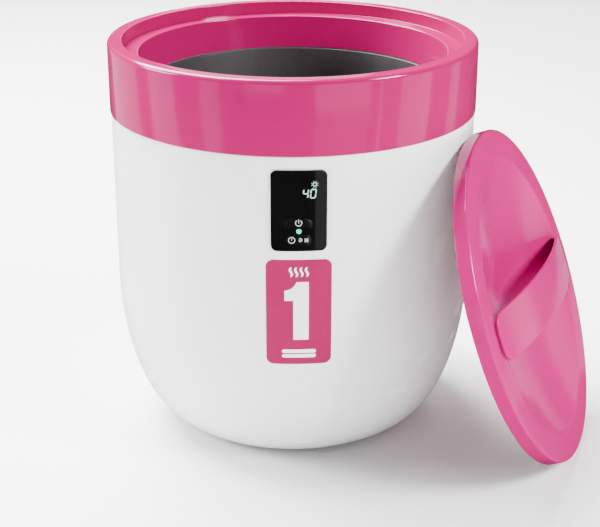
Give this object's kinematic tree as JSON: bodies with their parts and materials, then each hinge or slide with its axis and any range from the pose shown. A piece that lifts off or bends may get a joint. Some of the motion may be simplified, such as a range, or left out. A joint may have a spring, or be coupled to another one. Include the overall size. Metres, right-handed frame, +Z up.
{
  "type": "towel warmer bucket",
  "caption": "Round-bottomed heated tub for towels, white with a broad pink collar, dark liner, glossy front panel and label; its dished lid with a strap handle leans against its side.",
  "frame": {"origin": "on the tub's axis, on the surface that its feet stand on", "axes": "+Z up along the tub's axis; -Y towards the control panel's side; +X to the right when facing the panel, where the lid leans"},
  "size_m": [0.4082, 0.3632, 0.327],
  "materials": {
    "casing_white": "satin gloss",
    "collar_pink": "high gloss",
    "lid_pink": "high gloss",
    "label_pink": "printed film",
    "liner_dark": "satin coating",
    "window_black": "high gloss",
    "button_black": "gloss",
    "light_clear": "clear, lit",
    "part_black": "matte",
    "part_white": "matte",
    "board_green": "coated board",
    "belt_orange": "matte",
    "foot_grey": "matte",
    "seal_white": "matte",
    "wool_cream": "felted",
    "steel": "plain",
    "lead_beige": "matte"
  },
  "bodies": {
    "tub": {"outer_shell": "casing_white", "collar": "collar_pink", "inner_liner": "liner_dark", "liner_gasket": "seal_white", "heating_belt": "belt_orange", "insulation_wrap": "wool_cream", "base_insulation": "wool_cream", "temperature_sensor": "part_black", "thermal_cutoff": "steel", "liner_screws": "steel", "collar_screws": "steel", "base_cover": "part_white", "base_screws": "steel", "rubber_feet": "foot_grey", "power_board": "board_green", "board_screws": "steel", "panel_cable": "lead_beige", "heater_lead": "lead_beige", "cord_gland": "part_black", "panel_housing": "part_black", "housing_screws": "steel", "display_window": "window_black", "display_module": "part_black", "control_board": "board_green", "button_switches": "part_black", "light_guide": "light_clear", "front_label": "label_pink"},
    "lid": {"lid_shell": "lid_pink", "lid_handle": "lid_pink", "lid_insulation": "wool_cream", "lid_under_cover": "collar_pink", "lid_seal": "seal_white", "lid_screws": "steel"},
    "power_key": {"power_button": "button_black"},
    "timer_key": {"timer_button": "button_black"}
  },
  "joints": [
    {"name": "power_press", "type": "slide", "parent": "tub", "child": "power_key", "axis": [0, 1, 0], "range_m": [0, 0.0008], "stiffness_N_per_m": 1200},
    {"name": "timer_press", "type": "slide", "parent": "tub", "child": "timer_key", "axis": [0, 1, 0], "range_m": [0, 0.0008], "stiffness_N_per_m": 1200},
    {"name": "lid_lift_off", "type": "slide", "parent": "tub", "child": "lid", "axis": [0.8698, -0.3426, 0.3551], "range_m": [0, 0.12]}
  ]
}
